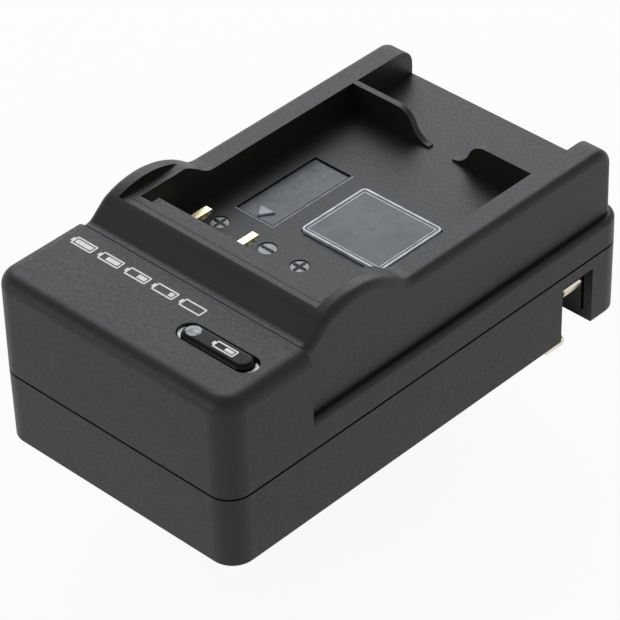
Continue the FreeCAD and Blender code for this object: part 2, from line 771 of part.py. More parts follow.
def make_transformer():
    """Core with two windows, and the winding around its middle leg."""
    middle_y = (front_y + case_draft + console_back) / 2
    left = transformer_x - core_width / 2
    right = transformer_x + core_width / 2
    front = middle_y - core_depth / 2
    back = middle_y + core_depth / 2
    top = board_top + core_height

    def window(y0, y1):
        return box(left + core_leg, right - core_leg, y0, y1, board_top + core_leg, top - core_leg)

    def middle_leg():
        half = core_leg / 2
        return box(transformer_x - half, transformer_x + half, front, back,
                   board_top + core_leg, top - core_leg)

    frame = cut(box(left, right, front, back, board_top, top), window(front, back))
    finish(fuse(frame, middle_leg()), "transformer_core")
    coil = cut(window(front - coil_overhang, back + coil_overhang), middle_leg())
    return finish(coil, "transformer_coil")


def make_board_parts():
    """Capacitors, rectifier, controller and fuse on the board."""
    finish(cylinder(can_radius, can_length, -board_width / 4, spring_pin_y + can_radius,
                    board_top + can_radius, "Y"), "input_capacitor")
    finish(cylinder(small_can_radius, small_can_length, board_width / 4, spring_pin_y + can_radius,
                    board_top + small_can_radius, "Y"), "output_capacitor")
    half = bridge_size / 2
    part_y = spring_pin_y + can_radius + can_length + bridge_size
    finish(box(board_width / 4 - half, board_width / 4 + half, part_y - half, part_y + half,
               board_top, board_top + bridge_height), "bridge_rectifier")
    finish(box(-board_width / 4 - chip_length / 2, -board_width / 4 + chip_length / 2,
               part_y - chip_width / 2, part_y + chip_width / 2,
               board_top, board_top + chip_height), "control_chip")
    fuse_y = board_rear - post_inset * 2
    finish(cylinder(fuse_radius, fuse_length, -(fuse_length / 2), fuse_y,
                    board_top + fuse_radius, "X"), "fuse_resistor")


def make_spring_pins():
    """Two spring pins that carry the charge from the board up to the plate."""
    for x, label in ((-spring_pin_x, "spring_pin_plus"), (spring_pin_x, "spring_pin_minus")):
        finish(cylinder(spring_pin_radius, contact_board_foot - board_top, x, spring_pin_y,
                        board_top), label)


def make_battery_contacts():
    """Two gilt fingers and the small board that carries them."""
    half = contact_board_length / 2
    middle = contact_leg + contact_thickness / 2
    finish(box(-half, half, middle - contact_board_depth / 2, middle + contact_board_depth / 2,
               contact_board_foot, contact_board_top), "contact_board")
    for x, label in ((plus_contact_x, "contact_plus"), (minus_contact_x, "contact_minus")):
        body = new_body("Contact")
        side = new_sketch(body, "FingerSide", "YZ_Plane", x)
        underside = contact_top - contact_thickness
        outline(side, [
            (contact_leg, contact_board_top), (contact_leg + contact_thickness, contact_board_top),
            (contact_leg + contact_thickness, underside), (contact_tip - contact_thickness, underside),
            (contact_tip, underside + contact_thickness / 2), (contact_tip, contact_top),
            (contact_leg, contact_top),
        ])
        pad(body, side, contact_width, both=True)
        finish(body, label)


def swing(item):
    """Turn a plug piece about the hinge to where it rests."""
    place(item, pivot_x, pivot_y, pivot_z)
    item.setExpression("Placement.Rotation.Axis.x", "0")
    item.setExpression("Placement.Rotation.Axis.y", "1")
    item.setExpression("Placement.Rotation.Axis.z", "0")
    item.setExpression("Placement.Rotation.Angle", swing_angle.text)
    return item


def make_plug():
    """Hinged barrel with two flat blades, modelled at the hinge and then turned."""
    half = barrel_length / 2
    barrel = cylinder(barrel_radius, barrel_length, 0, -half, 0, "Y")
    beyond = barrel_radius * 2
    seats = [
        box(-blade_root, beyond, -half, half, blade_inner, beyond),
        box(-blade_root, beyond, -half, half, -beyond, -blade_inner),
    ]
    depth = trunnion_grip + barrel_end_gap
    bore = trunnion_radius + running_fit
    bores = [cylinder(bore, depth, 0, -half, 0, "Y"), cylinder(bore, depth, 0, half - depth, 0, "Y")]
    finish(swing(cut(barrel, *seats, *bores)), "plug_barrel")
    for height, label in ((blade_offset, "upper_blade"), (-blade_offset, "lower_blade")):
        body = new_body("Blade")
        face = new_sketch(body, "BladeOutline", "XY_Plane", height)
        edge = blade_width / 2
        tip = blade_reach - blade_tip_length
        tip_edge = edge - blade_tip_inset
        outline(face, [
            (-blade_root, -edge), (tip, -edge), (blade_reach, -tip_edge),
            (blade_reach, tip_edge), (tip, edge), (-blade_root, edge),
        ])
        strip = pad(body, face, blade_thickness, both=True)
        dress(body, "Chamfer", strip, "Size", blade_bevel,
              lambda spot: spot.x > tip.value - 1e-4 and abs(abs(spot.z) - blade_offset.value) > 0.1)
        hole = new_sketch(body, "BladeHole", "XY_Plane", height + blade_thickness)
        circle(hole, blade_reach - blade_hole_inset, 0, blade_hole_radius)
        pocket(body, hole, blade_thickness * 2)
        finish(swing(body), label)


def make_trunnions():
    """Two pins, fixed in the well's walls, that the barrel turns on."""
    length = trunnion_grip + barrel_end_gap + well_wall
    finish(cylinder(trunnion_radius, length, pivot_x, well_front, pivot_z, "Y"), "front_trunnion")
    finish(cylinder(trunnion_radius, length, pivot_x, well_rear - length, pivot_z, "Y"), "rear_trunnion")


def make_lead_strips():
    """Brass strips from the trunnions to the board."""
    half = strip_width / 2
    top = pivot_z + half
    wall = well_front - strip_thickness
    plate = box(pivot_x - half, pivot_x + half, wall, well_front, board_top, top)
    foot = box(pivot_x - half, pivot_x + half, board_rear - strip_width / 2, well_front,
               board_top, board_top + strip_thickness)
    finish(fuse(plate, foot), "front_lead_strip")
    run_x = well_left - well_wall - strip_thickness
    start = board_rear - strip_width / 2
    across = box(run_x, pivot_x + half, well_rear, well_rear + strip_thickness, board_top, top)
    along = box(run_x, run_x + strip_thickness, start, well_rear + strip_thickness, board_top, top)
    tab = box(run_x, run_x + strip_width, start, board_rear, board_top, board_top + strip_thickness)
    finish(fuse(across, along, tab), "rear_lead_strip")


def make_screws():
    """Four screws from below, as one group of separate solids."""
    screws = []
    for x, y in screw_points():
        head = cylinder(screw_head_radius, screw_head_height, x, y, screw_sink - screw_head_height)
        shank = cylinder(screw_radius, seam_height + screw_grip - screw_sink, x, y, screw_sink)
        screws.append(fuse(head, shank))
    group = doc.addObject("Part::Compound", "Screws")
    group.Links = screws
    return finish(group, "case_screws")


make_bottom_case()
make_top_case()
make_battery_plate()
make_label_insert()
make_light_guide()
make_indicator_bar()
make_led_lens()
make_indicator_led()
make_main_board()
make_transformer()
make_board_parts()
make_spring_pins()
make_battery_contacts()
make_plug()
make_trunnions()
make_lead_strips()
make_screws()
doc.recompute()

# Nothing is written unless every object is sound
for item in doc.Objects:
    if "Invalid" in item.State or "Error" in item.State:
        raise ValueError(f"{item.Name} failed: {item.State}")
for item in finished:
    if item.Shape.isNull() or not item.Shape.isValid():
        raise ValueError(f"{item.Label} has no valid shape")
for item in finished:
    item.Shape.exportStep(f"parts/{item.Label}.step")
    print(f"{item.Label}: {len(item.Shape.Solids)} solids, {item.Shape.Volume:.1f} mm3")
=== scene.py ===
"""Looks of a travel battery charger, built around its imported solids.

Every piece is in metres, in the frame of the solids: the origin is the middle of the case's
underside, +Z is up, +Y runs from the console to the plug end and +X to the side with the notch.
"""

import logging
import math
from dataclasses import dataclass
from enum import Enum
from typing import Any

import bmesh
import bpy
from mathutils import Matrix, Vector


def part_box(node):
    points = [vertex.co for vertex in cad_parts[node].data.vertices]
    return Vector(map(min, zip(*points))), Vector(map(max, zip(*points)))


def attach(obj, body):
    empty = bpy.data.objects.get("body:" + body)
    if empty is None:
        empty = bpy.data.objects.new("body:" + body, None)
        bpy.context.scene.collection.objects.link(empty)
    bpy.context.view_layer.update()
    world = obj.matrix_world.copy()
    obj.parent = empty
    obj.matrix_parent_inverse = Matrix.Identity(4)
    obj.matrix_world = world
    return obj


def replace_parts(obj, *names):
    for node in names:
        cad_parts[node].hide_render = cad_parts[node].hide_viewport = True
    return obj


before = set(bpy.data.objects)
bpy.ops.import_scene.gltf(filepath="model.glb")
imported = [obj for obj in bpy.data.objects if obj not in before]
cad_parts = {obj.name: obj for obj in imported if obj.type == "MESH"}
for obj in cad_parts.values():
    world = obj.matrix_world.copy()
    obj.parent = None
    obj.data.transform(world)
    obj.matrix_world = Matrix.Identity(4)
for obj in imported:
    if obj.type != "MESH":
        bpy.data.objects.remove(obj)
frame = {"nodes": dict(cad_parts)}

LOG = logging.getLogger("charger")
MM = 0.001
# Thickness of printed ink and of fine drawn lines.
INK_MM = 0.03
LINE_MM = 0.02
# Facets around a round corner, and the least angle, in radians, at an edge that is rounded.
CORNER_FACETS = 6
SHARP_ANGLE = 0.5
# Noise levels between which the colour drifts and the roughness changes.
TINT_SPAN = (0.35, 0.65)
GRAIN_SPAN = (0.3, 0.7)
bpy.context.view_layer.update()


def linear(colour: str) -> tuple[float, float, float, float]:
    """Turn an sRGB hex colour into linear light.

    Args:
        colour: Six hex digits with a leading hash sign.

    Returns:
        Red, green, blue and an alpha of 1.
    """
    parts = [int(colour[place:place + 2], 16) / 255 for place in (1, 3, 5)]
    light = [part / 12.92 if part <= 0.04045 else ((part + 0.055) / 1.055) ** 2.4 for part in parts]
    return light[0], light[1], light[2], 1.0


def per_metre(millimetres: float) -> float:
    """Scale of a pattern on Object coordinates whose features have this size."""
    return 1000 / millimetres


def add_node(
    tree: bpy.types.NodeTree,
    kind: str,
    settings: dict[str, Any] | None = None,
    values: dict[str | int, Any] | None = None,
    links: dict[str | int, bpy.types.NodeSocket] | None = None,
) -> bpy.types.Node:
    """Add one node with its settings, socket values and incoming links.

    Args:
        tree: Node tree that gets the node.
        kind: Blender's name of the node type.
        settings: Properties of the node itself.
        values: Default values by input socket.
        links: Output sockets of other nodes by input socket.

    Returns:
        The new node.
    """
    node = tree.nodes.new(kind)
    for name, value in (settings or {}).items():
        setattr(node, name, value)
    for name, value in (values or {}).items():
        node.inputs[name].default_value = value
    for name, socket in (links or {}).items():
        tree.links.new(socket, node.inputs[name])
    return node


@dataclass(frozen=True)
class Finish:
    """One surface finish: two close colours that drift, a grain, and the shader's constants.

    Attributes:
        name: Name of the material.
        light: Lighter colour of the drift.
        dark: Darker colour of the drift.
        drift_mm: Size of the patches that the colour drifts over.
        grain_mm: Size of the surface grain.
        grain_depth_mm: Height of the grain.
        rough: Lowest and highest roughness over the grain.
        metallic: 1 on bare metal.
        ior: Index of refraction on plastics.
        specular: Strength of the clear reflection on plastics.
        transmission: Share of light that passes through.
        subsurface: Share of light that scatters inside.
        stretch: How much longer the grain is along X than across.
    """

    name: str
    light: str
    dark: str
    drift_mm: float
    grain_mm: float
    grain_depth_mm: float
    rough: tuple[float, float]
    metallic: float = 0.0
    ior: float = 1.5
    specular: float = 0.5
    transmission: float = 0.0
    subsurface: float = 0.0
    stretch: float = 1.0

    def build(self) -> bpy.types.Material:
        """Make the material once.

        Returns:
            The material, or the one that is already there.
        """
        made = bpy.data.materials.get(self.name)
        if made is not None:
            return made
        made = bpy.data.materials.new(self.name)
        made.use_nodes = True
        tree = made.node_tree
        shader = tree.nodes["Principled BSDF"]
        for socket, value in (
            ("Metallic", self.metallic),
            ("IOR", self.ior),
            ("Specular IOR Level", self.specular),
            ("Transmission Weight", self.transmission),
            ("Subsurface Weight", self.subsurface),
            ("Subsurface Scale", MM),
        ):
            shader.inputs[socket].default_value = value
        place = add_node(tree, "ShaderNodeTexCoord").outputs["Object"]
        drift = add_node(
            tree, "ShaderNodeTexNoise",
            values={"Scale": per_metre(self.drift_mm), "Detail": 3.0, "Roughness": 0.55},
            links={"Vector": place},
        )
        tint = add_node(tree, "ShaderNodeValToRGB", links={"Fac": drift.outputs["Fac"]})
        for element, share, colour in zip(tint.color_ramp.elements, TINT_SPAN, (self.dark, self.light)):
            element.position = share
            element.color = linear(colour)
        turned = add_node(
            tree, "ShaderNodeMapping",
            values={"Scale": (1 / self.stretch, 1.0, 1.0)},
            links={"Vector": place},
        )
        grain = add_node(
            tree, "ShaderNodeTexNoise",
            values={"Scale": per_metre(self.grain_mm), "Detail": 2.0, "Roughness": 0.6},
            links={"Vector": turned.outputs["Vector"]},
        )
        gloss = add_node(
            tree, "ShaderNodeMapRange",
            values={
                "From Min": GRAIN_SPAN[0],
                "From Max": GRAIN_SPAN[1],
                "To Min": self.rough[0],
                "To Max": self.rough[1],
            },
            links={"Value": grain.outputs["Fac"]},
        )
        bump = add_node(
            tree, "ShaderNodeBump",
            values={"Strength": 1.0, "Distance": self.grain_depth_mm * MM},
            links={"Height": grain.outputs["Fac"]},
        )
        tree.links.new(tint.outputs["Color"], shader.inputs["Base Color"])
        tree.links.new(gloss.outputs["Result"], shader.inputs["Roughness"])
        tree.links.new(bump.outputs["Normal"], shader.inputs["Normal"])
        return made


# Black ABS moulded against a spark-eroded tool: a dull, finely pebbled skin that shows the light around it.
# The grain is drawn at 0.35 mm, coarser than the real one, so that it shows.
CASE_ABS = Finish("moulded_black_abs", "#151512", "#10100d", 14, 0.35, 0.02, (0.36, 0.52), specular=0.36)
# The same ABS with a slightly glossier skin, on the cradle.
CRADLE_ABS = Finish("cradle_black_abs", "#151511", "#10100d", 11, 0.35, 0.02, (0.34, 0.5), specular=0.38)
# ABS from a polished tool: a smooth black with a faint waviness.
GLOSS_ABS = Finish("polished_black_abs", "#060606", "#040404", 5, 2.4, 0.004, (0.10, 0.16), specular=0.12)
# Polished ABS of the insert: it shows scuffs as dull patches.
INSERT_ABS = Finish("scuffed_polished_abs", "#3c4042", "#1d1e1e", 5, 1.3, 0.014, (0.16, 0.36))
# Polished ABS on the sunk panel: smoother than the cradle around it.
PANEL_ABS = Finish("polished_panel_abs", "#292f36", "#181b1f", 5, 1.0, 0.008, (0.2, 0.34))
# Pale paint on a polished edge: a painted highlight where the edge would catch the light.
PAINTED_HIGHLIGHT_EDGE = Finish("painted_edge_highlight", "#eef4f8", "#bfc9cf", 2.0, 0.5, 0.003, (0.12, 0.25))
# Greyer paint on the sunk panel's polished edge: a painted highlight, less bright.
PAINTED_DIM_HIGHLIGHT = Finish("painted_dim_edge_highlight", "#8c9093", "#6a6e70", 2.5, 0.5, 0.003, (0.2, 0.35))
# Milky polycarbonate: white, with light that spreads inside.
MILKY_PC = Finish("milky_polycarbonate", "#f6f7f5", "#eef0ef", 4, 0.8, 0.003, (0.22, 0.32), ior=1.58,
                  subsurface=0.3)
# Clear epoxy of a lamp: glassy, a little grey.
CLEAR_EPOXY = Finish("clear_lamp_epoxy", "#d3dbe0", "#3f474d", 0.7, 0.6, 0.010, (0.06, 0.16), ior=1.54,
                     transmission=0.25)
# Gilt bronze: warm, with fine drawing lines.
GILT = Finish("gilt_contact_bronze", "#fbeecb", "#f0dca2", 1.5, 0.25, 0.0006, (0.2, 0.3), metallic=1.0)
# Nickel-plated brass from a stamping: a pale, warm metal with fine lines along the blade.
NICKEL = Finish("nickel_plated_brass", "#e6ddcb", "#d3cab8", 4, 0.2, 0.0015, (0.16, 0.26), metallic=1.0,
                stretch=8)
# Zinc-plated steel: greyer and duller.
ZINC = Finish("zinc_plated_steel", "#8f9194", "#77797c", 1.2, 0.3, 0.006, (0.3, 0.45), metallic=1.0)
# Pad-printed ink: matt white with tiny pinholes.
INK = Finish("white_printing_ink", "#f7f7f3", "#e9e9e4", 0.6, 0.2, 0.003, (0.5, 0.65))
# Pale grey paint on the polished floors of the sunk marks: a painted reflection.
DISC_REFLECTION_PAINT = Finish("painted_disc_reflection", "#b3b6b7", "#8b8f91", 1.2, 0.5, 0.006, (0.2, 0.35))
# Pale blue-grey paint on the polished raised arrow: a painted reflection.
ARROW = Finish("painted_arrow_reflection", "#a9b3bd", "#87919b", 1.5, 0.6, 0.006, (0.15, 0.3))
# Glass-epoxy board under green lacquer.
BOARD = Finish("green_circuit_board", "#1c5a30", "#164a27", 2.5, 0.5, 0.01, (0.3, 0.45))
# Sintered ferrite: dark grey and matt.
FERRITE = Finish("sintered_ferrite", "#3b3a39", "#2f2e2d", 2.0, 0.4, 0.02, (0.6, 0.75))
# Polyester tape over the winding.
TAPE = Finish("polyester_winding_tape", "#d9b13a", "#c79f2c", 3.0, 1.0, 0.01, (0.25, 0.4))
# Shrunk sleeve of a capacitor.
SLEEVE = Finish("shrunk_vinyl_sleeve", "#23283a", "#1b1f2e", 4.0, 0.8, 0.006, (0.25, 0.4))
# Transfer-moulded epoxy of the chips.
CHIP = Finish("moulded_chip_epoxy", "#202021", "#191919", 1.5, 0.2, 0.01, (0.5, 0.65))
# Lacquered resistor body.
LACQUER = Finish("blue_resistor_lacquer", "#7fa3a8", "#6b9095", 1.5, 0.5, 0.006, (0.3, 0.45))
# Painted shade: a dark colour for the shaded bottom of a groove or drive recess.
RECESS_SHADE_PAINT = Finish("painted_recess_shade", "#2a2a2b", "#1d1d1e", 0.8, 0.2, 0.01, (0.5, 0.7))
# Painted shade: black for the open gap between two shells, where nearly no light comes back out.
GAP_SHADE_PAINT = Finish("painted_gap_shade", "#050505", "#030303", 3.0, 0.5, 0.002, (0.7, 0.85), specular=0.02)

NODE_FINISHES: dict[str, Finish] = {
    "bottom_case": CASE_ABS,
    "top_case": CASE_ABS,
    "plug_barrel": CASE_ABS,
    "battery_plate": CRADLE_ABS,
    "label_insert": INSERT_ABS,
    "light_guide": MILKY_PC,
    "indicator_led": MILKY_PC,
    "indicator_bar": GLOSS_ABS,
    "led_lens": CLEAR_EPOXY,
    "contact_plus": GILT,
    "contact_minus": GILT,
    "spring_pin_plus": GILT,
    "spring_pin_minus": GILT,
    "upper_blade": NICKEL,
    "lower_blade": NICKEL,
    "front_trunnion": NICKEL,
    "rear_trunnion": NICKEL,
    "front_lead_strip": NICKEL,
    "rear_lead_strip": NICKEL,
    "case_screws": ZINC,
    "main_board": BOARD,
    "contact_board": BOARD,
    "transformer_core": FERRITE,
    "transformer_coil": TAPE,
    "input_capacitor": SLEEVE,
    "output_capacitor": SLEEVE,
    "bridge_rectifier": CHIP,
    "control_chip": CHIP,
    "fuse_resistor": LACQUER,
}


class Sign(Enum):
    """Polarity sign in a round sunk mark."""

    PLUS = "plus"
    MINUS = "minus"


@dataclass(frozen=True)
class Extent:
    """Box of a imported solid, in millimetres.

    Attributes:
        low: Its lowest corner.
        high: Its highest corner.
    """

    low: Vector
    high: Vector

    @classmethod
    def of(cls, node: str) -> "Extent":
        """Box of one solid.

        Args:
            node: Name of the solid.

        Returns:
            Its box.
        """
        low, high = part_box(node)
        return cls(low / MM, high / MM)

    @property
    def middle(self) -> Vector:
        """Middle of the box."""
        return (self.low + self.high) / 2

    @property
    def span(self) -> Vector:
        """Size of the box."""
        return self.high - self.low


def bevel(mesh: bmesh.types.BMesh, edges: list[bmesh.types.BMEdge], width_mm: float, segments: int) -> None:
    """Round edges of a mesh.

    Args:
        mesh: Mesh that holds the edges.
        edges: Edges to round.
        width_mm: Width of the rounding.
        segments: Facets across the rounding.
    """
    bmesh.ops.bevel(
        mesh, geom=edges, offset=width_mm * MM, offset_type="OFFSET", affect="EDGES",
        segments=segments, profile=0.5, material=-1, clamp_overlap=True,
    )


def raise_faces(mesh: bmesh.types.BMesh, height_mm: float) -> list[bmesh.types.BMEdge]:
    """Make a flat outline into a slab upward.

    Args:
        mesh: Mesh whose faces are all in one plane.
        height_mm: Thickness of the slab.

    Returns:
        The rim edges of the raised side.
    """
    made = bmesh.ops.extrude_face_region(mesh, geom=mesh.faces[:], use_keep_orig=True)
    raised = {item for item in made["geom"] if isinstance(item, bmesh.types.BMVert)}
    bmesh.ops.translate(mesh, verts=list(raised), vec=(0, 0, height_mm * MM))
    bmesh.ops.recalc_face_normals(mesh, faces=mesh.faces[:])
    top = [edge for edge in mesh.edges if all(vert in raised for vert in edge.verts)]
    return [edge for edge in top if edge.calc_face_angle(0.0) > SHARP_ANGLE]


def stand(mesh: bmesh.types.BMesh, spot_mm: tuple[float, float, float], turn_deg: float = 0.0) -> None:
    """Turn a mesh about Z and move it to its place.

    Args:
        mesh: Mesh made about the origin.
        spot_mm: Where its origin goes.
        turn_deg: Turn about Z before that.
    """
    turn = Matrix.Rotation(math.radians(turn_deg), 4, "Z")
    place = Matrix.Translation(Vector(spot_mm) * MM)
    bmesh.ops.transform(mesh, matrix=place @ turn, verts=mesh.verts[:])


def make_piece(mesh: bmesh.types.BMesh, name: str, finish: Finish) -> bpy.types.Object:
    """Turn a finished mesh into a piece that rides on the case.

    Args:
        mesh: Mesh in its place. It is freed.
        name: Name of the piece.
        finish: Surface finish.

    Returns:
        The new object.
    """
    data = bpy.data.meshes.new(name)
    mesh.to_mesh(data)
    mesh.free()
    data.materials.append(finish.build())
    piece = bpy.data.objects.new(name, data)
    bpy.context.scene.collection.objects.link(piece)
    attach(piece, "case")
    LOG.info("piece %s in %s", name, finish.name)
    return piece


def slab(outline_mm: list[tuple[float, float]], height_mm: float) -> bmesh.types.BMesh:
    """A thin slab over an outline of a few corners.

    Args:
        outline_mm: Corners, anticlockwise.
        height_mm: Thickness upward from Z = 0.

    Returns:
        The slab.
    """
    mesh = bmesh.new()
    corners = [mesh.verts.new((x * MM, y * MM, 0)) for x, y in outline_mm]
    mesh.faces.new(corners)
    raise_faces(mesh, height_mm)
    return mesh


def block(low_mm: tuple[float, float], high_mm: tuple[float, float], height_mm: float) -> bmesh.types.BMesh:
    """A slab over a rectangle.

    Args:
        low_mm: Left front corner.
        high_mm: Right rear corner.
        height_mm: Thickness upward from Z = 0.

    Returns:
        The slab.
    """
    (left, front), (right, rear) = low_mm, high_mm
    return slab([(left, front), (right, front), (right, rear), (left, rear)], height_mm)


def cross(reach_mm: float, arm_mm: float, height_mm: float) -> bmesh.types.BMesh:
    """A slab in the form of a cross with four equal arms.

    Args:
        reach_mm: Length of an arm from the middle.
        arm_mm: Width of an arm.
        height_mm: Thickness.

    Returns:
        The cross about the origin.
    """
    half = arm_mm / 2
    corners = []
    for quarter in range(4):
        turn = Matrix.Rotation(quarter * math.pi / 2, 2)
        for corner in ((reach_mm, -half), (reach_mm, half), (half, half)):
            corners.append(tuple(turn @ Vector(corner)))
    return slab(corners, height_mm)


def tile(width_mm: float, length_mm: float, corner_mm: float) -> bmesh.types.BMesh:
    """A flat rectangle with round corners.

    Args:
        width_mm: Size along X.
        length_mm: Size along Y.
        corner_mm: Radius of the corners.

    Returns:
        One face about the origin.
    """
    mesh = bmesh.new()
    bmesh.ops.create_grid(mesh, x_segments=1, y_segments=1, size=0.5 * MM)
    bmesh.ops.scale(mesh, verts=mesh.verts[:], vec=(width_mm, length_mm, 1))
    bmesh.ops.bevel(
        mesh, geom=mesh.verts[:], offset=corner_mm * MM, offset_type="OFFSET", affect="VERTICES",
        segments=CORNER_FACETS, profile=0.5, material=-1, clamp_overlap=True,
    )
    return mesh


def rim(width_mm: float, length_mm: float, corner_mm: float, stroke_mm: float) -> bmesh.types.BMesh:
    """The border of a rectangle with round corners.

    Args:
        width_mm: Size along X.
        length_mm: Size along Y.
        corner_mm: Radius of the corners.
        stroke_mm: Width of the border.

    Returns:
        The flat border about the origin.
    """
    mesh = tile(width_mm, length_mm, corner_mm)
    bmesh.ops.inset_region(
        mesh, faces=mesh.faces[:], thickness=stroke_mm * MM, use_boundary=True, use_even_offset=True
    )
    middle = min(mesh.faces, key=lambda face: face.calc_center_median().length)
    bmesh.ops.delete(mesh, geom=[middle], context="FACES")
    return mesh


def join(meshes: list[bmesh.types.BMesh]) -> bmesh.types.BMesh:
    """Gather several meshes in one.

    Args:
        meshes: Meshes to gather. All but the first are freed.

    Returns:
        The first mesh, with the others in it.
    """
    whole = meshes[0]
    for other in meshes[1:]:
        data = bpy.data.meshes.new("part")
        other.to_mesh(data)
        other.free()
        whole.from_mesh(data)
        bpy.data.meshes.remove(data)
    return whole


@dataclass(frozen=True)
class CellSymbol:
    """Printed outline of a battery cell with its end knob, filled in part.

    Attributes:
        length: Length without the knob.
        height: Height of the outline.
        stroke: Width of the outline.
        knob: Length of the knob.
        knob_share: Half width of the knob as a share of the height.
        margin: Distance of the filling from the outer edge, in strokes.
    """

    length: float
    height: float
    stroke: float
    knob: float = 0.35
    knob_share: float = 0.22
    margin: float = 1.8

    def build(self, fill: float) -> bmesh.types.BMesh:
        """Build the symbol about the origin.

        Args:
            fill: Share of the inside that is filled, from the end without the knob.

        Returns:
            The symbol.
        """
        border = rim(self.length, self.height, self.stroke, self.stroke)
        raise_faces(border, INK_MM)
        edge = self.length / 2
        half = self.height * self.knob_share
        parts = [border, block((edge, -half), (edge + self.knob, half), INK_MM)]
        if fill > 0:
            gap = self.stroke * self.margin
            side = self.height / 2 - gap
            end = -edge + gap + (self.length - gap * 2) * fill
            parts.append(block((-edge + gap, -side), (end, side), INK_MM))
        return join(parts)


@dataclass
class Solids:
    """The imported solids, which only get their finishes.

    Attributes:
        nodes: Objects by name.
    """

    nodes: dict[str, bpy.types.Object]

    def build(self) -> None:
        """Give every solid its finish."""
        for name, node in self.nodes.items():
            finish = NODE_FINISHES[name]
            node.data.materials.clear()
            node.data.materials.append(finish.build())
            LOG.info("solid %s in %s", name, finish.name)


@dataclass
class SeamGap:
    """Painted shade: a black ring at the bottom of the groove between the two shells.

    Attributes:
        shell: Box of the upper shell, whose lowest edge is the seam.
        corner: Radius of the case's upright corners.
        inset: How far the gap stays inside the case's outline.
        depth: How deep the gap goes into the wall.
        width: Height of the gap.
    """

    shell: Extent
    corner: float = 3.8
    inset: float = 0.03
    depth: float = 0.5
    width: float = 0.34

    def build(self) -> None:
        """Build the painted shade as a ring inside the groove."""
        size = self.shell.span - Vector((self.inset, self.inset, 0)) * 2
        mesh = rim(size.x, size.y, self.corner - self.inset, self.depth)
        raise_faces(mesh, self.width)
        stand(mesh, (self.shell.middle.x, self.shell.middle.y, self.shell.low.z - self.width / 2))
        make_piece(mesh, "painted_seam_shade", GAP_SHADE_PAINT)


@dataclass
class LabelInsert:
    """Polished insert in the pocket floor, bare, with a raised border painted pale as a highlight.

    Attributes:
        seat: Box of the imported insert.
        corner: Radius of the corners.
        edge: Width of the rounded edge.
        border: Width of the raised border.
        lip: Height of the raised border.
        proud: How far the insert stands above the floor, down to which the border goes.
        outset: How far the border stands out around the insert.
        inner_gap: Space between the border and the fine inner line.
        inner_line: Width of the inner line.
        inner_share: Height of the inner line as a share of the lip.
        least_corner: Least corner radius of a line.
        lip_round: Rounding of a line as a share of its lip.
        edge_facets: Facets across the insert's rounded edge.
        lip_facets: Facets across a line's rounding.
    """

    seat: Extent
    corner: float = 0.8
    edge: float = 0.2
    border: float = 0.34
    lip: float = 0.1
    proud: float = 0.35
    outset: float = 0.02
    inner_gap: float = 0.34
    inner_line: float = 0.13
    inner_share: float = 1 / 3
    least_corner: float = 0.15
    lip_round: float = 0.6
    edge_facets: int = 3
    lip_facets: int = 2

    def build(self) -> None:
        """Build the plate, and the border and the inner line painted pale as highlights."""
        spot = self.seat.middle
        mesh = tile(self.seat.span.x, self.seat.span.y, self.corner)
        bevel(mesh, raise_faces(mesh, self.seat.span.z), self.edge, self.edge_facets)
        stand(mesh, (spot.x, spot.y, self.seat.low.z))
        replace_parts(make_piece(mesh, "polished_insert", INSERT_ABS), "label_insert")
        self.build_border("insert_highlight_rim", -self.outset, self.border, self.proud, self.lip)
        inset = self.border + self.inner_gap
        self.build_border("insert_inner_highlight", inset, self.inner_line, 0.0, self.lip * self.inner_share)

    def build_border(self, name: str, inset: float, stroke: float, drop: float, lip: float) -> None:
        """One raised line parallel to the insert's edge, painted pale as a highlight.

        Args:
            name: Name of the piece.
            inset: Distance from the edge.
            stroke: Width of the line.
            drop: How far it goes down below the insert's face.
            lip: How far it stands above that face.
        """
        size = self.seat.span - Vector((inset, inset, 0)) * 2
        mesh = rim(size.x, size.y, max(self.corner - inset, self.least_corner), stroke)
        bevel(mesh, raise_faces(mesh, drop + lip), lip * self.lip_round, self.lip_facets)
        stand(mesh, (self.seat.middle.x, self.seat.middle.y, self.seat.high.z - drop))
        make_piece(mesh, name, PAINTED_HIGHLIGHT_EDGE)


